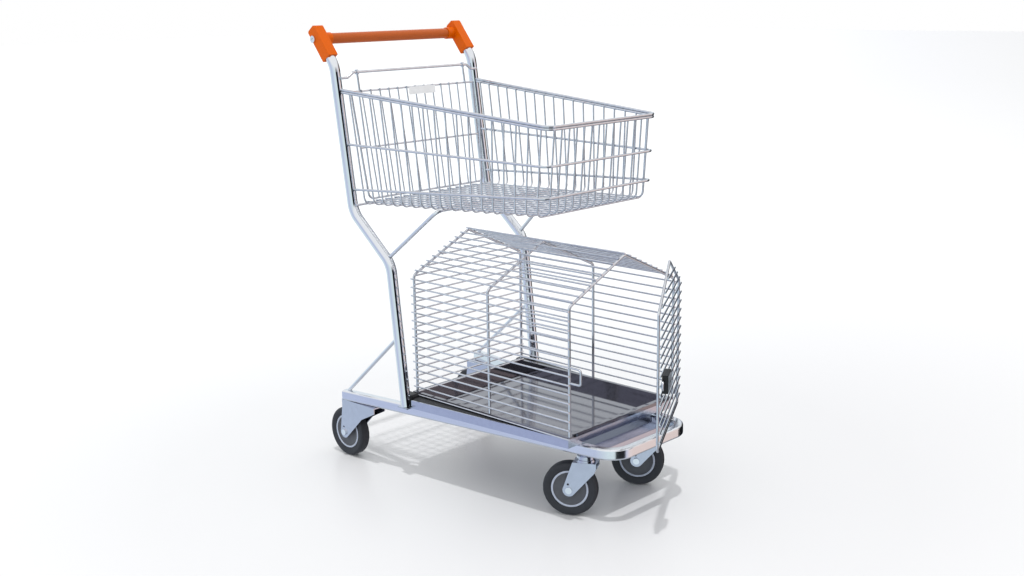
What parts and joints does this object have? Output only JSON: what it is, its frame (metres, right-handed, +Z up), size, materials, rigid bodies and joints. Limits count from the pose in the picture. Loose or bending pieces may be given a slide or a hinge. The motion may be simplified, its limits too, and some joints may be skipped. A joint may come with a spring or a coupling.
{
  "type": "shopping cart",
  "caption": "Shopping cart with a wire basket, a flap at its rear, a caged lower deck with a hinged door, and four rubber wheels.",
  "frame": {"origin": "bottom centre of the whole cart, on the floor", "axes": "+X towards the front (the cage door), +Y towards the left side of someone pushing it, +Z up"},
  "size_m": [0.9784, 0.4914, 1.0745],
  "materials": {
    "chromed_tube": "bright plated tube",
    "chromed_wire": "bright zinc-plated wire",
    "zinc_plate": "zinc-plated pressing",
    "polished_sheet": "polished sheet",
    "orange_plastic": "moulded",
    "black_plastic": "moulded",
    "white_plastic": "blank",
    "grey_hub": "moulded",
    "grey_rubber": "moulded tread"
  },
  "bodies": {
    "cart": {"base_frame": "chromed_tube", "basket_floor_cross_wires": "chromed_wire", "basket_floor_long_wires": "chromed_wire", "basket_front_wires": "chromed_wire", "basket_left_wires": "chromed_wire", "basket_low_band": "chromed_wire", "basket_middle_band": "chromed_wire", "basket_rear_rod": "chromed_wire", "basket_right_wires": "chromed_wire", "basket_rim_wires": "chromed_wire", "basket_support_rod": "chromed_wire", "bracket_bolts": "chromed_wire", "cage_front_arch": "chromed_wire", "cage_left_wires": "chromed_wire", "cage_middle_arch": "chromed_wire", "cage_rear_arch": "chromed_wire", "cage_rear_wires": "chromed_wire", "cage_right_wires": "chromed_wire", "cage_roof_wires": "chromed_wire", "door_hinge_pins": "chromed_wire", "flap_hinge_bar": "chromed_wire", "front_cross_member": "zinc_plate", "front_cross_plate": "zinc_plate", "handle_core": "zinc_plate", "handle_grip": "orange_plastic", "kingpins": "zinc_plate", "left_handle_bracket": "orange_plastic", "left_upright": "chromed_tube", "rear_axle_bolts": "zinc_plate", "rear_forks": "zinc_plate", "rear_struts": "chromed_wire", "right_handle_bracket": "orange_plastic", "right_upright": "chromed_tube", "strike_loop": "chromed_wire", "strip_pins": "zinc_plate", "tray": "polished_sheet", "tray_bearers": "chromed_tube", "tray_side_strips": "black_plastic"},
    "flap": {"flap_frame": "chromed_wire", "flap_wires": "chromed_wire", "label_plate": "white_plastic"},
    "cage_door": {"door_frame": "chromed_wire", "door_wires": "chromed_wire", "latch_housing": "black_plastic", "latch_plate": "zinc_plate"},
    "door_bolt": {"latch_bolt": "chromed_wire"},
    "rear_right_wheel": {"rear_right_hub": "grey_hub", "rear_right_tyre": "grey_rubber"},
    "rear_left_wheel": {"rear_left_hub": "grey_hub", "rear_left_tyre": "grey_rubber"},
    "front_right_caster": {"front_right_fork": "zinc_plate", "front_right_axle_bolt": "zinc_plate"},
    "front_left_caster": {"front_left_fork": "zinc_plate", "front_left_axle_bolt": "zinc_plate"},
    "front_right_wheel": {"front_right_hub": "grey_hub", "front_right_tyre": "grey_rubber"},
    "front_left_wheel": {"front_left_hub": "grey_hub", "front_left_tyre": "grey_rubber"}
  },
  "joints": [
    {"name": "rear_right_wheel_spin", "type": "hinge", "parent": "cart", "child": "rear_right_wheel", "pos_m": [-0.4237, -0.221, 0.0625], "axis": [0, 1, 0], "continuous": true},
    {"name": "rear_left_wheel_spin", "type": "hinge", "parent": "cart", "child": "rear_left_wheel", "pos_m": [-0.4237, 0.221, 0.0625], "axis": [0, 1, 0], "continuous": true},
    {"name": "front_right_swivel", "type": "hinge", "parent": "cart", "child": "front_right_caster", "pos_m": [0.2798, -0.121, 0.132], "axis": [0, 0, 1], "continuous": true},
    {"name": "front_left_swivel", "type": "hinge", "parent": "cart", "child": "front_left_caster", "pos_m": [0.2798, 0.121, 0.132], "axis": [0, 0, 1], "continuous": true},
    {"name": "front_right_wheel_spin", "type": "hinge", "parent": "front_right_caster", "child": "front_right_wheel", "pos_m": [0.2489, -0.13743, 0.0625], "axis": [-0.4695, 0.8829, 0], "continuous": true},
    {"name": "front_left_wheel_spin", "type": "hinge", "parent": "front_left_caster", "child": "front_left_wheel", "pos_m": [0.2489, 0.10457, 0.0625], "axis": [-0.4695, 0.8829, 0], "continuous": true},
    {"name": "basket_flap_hinge", "type": "hinge", "parent": "cart", "child": "flap", "pos_m": [-0.39253, 0, 0.964], "axis": [0, -1, 0], "range_deg": [0, 80]},
    {"name": "cage_door_hinge", "type": "hinge", "parent": "cart", "child": "cage_door", "pos_m": [0.2998, 0.184, 0.3445], "axis": [0, 0, 1], "range_deg": [-29.6, 90.4]},
    {"name": "door_bolt_slide", "type": "slide", "parent": "cage_door", "child": "door_bolt", "axis": [0.4939, -0.8695, 0], "range_m": [0, 0.022]}
  ]
}
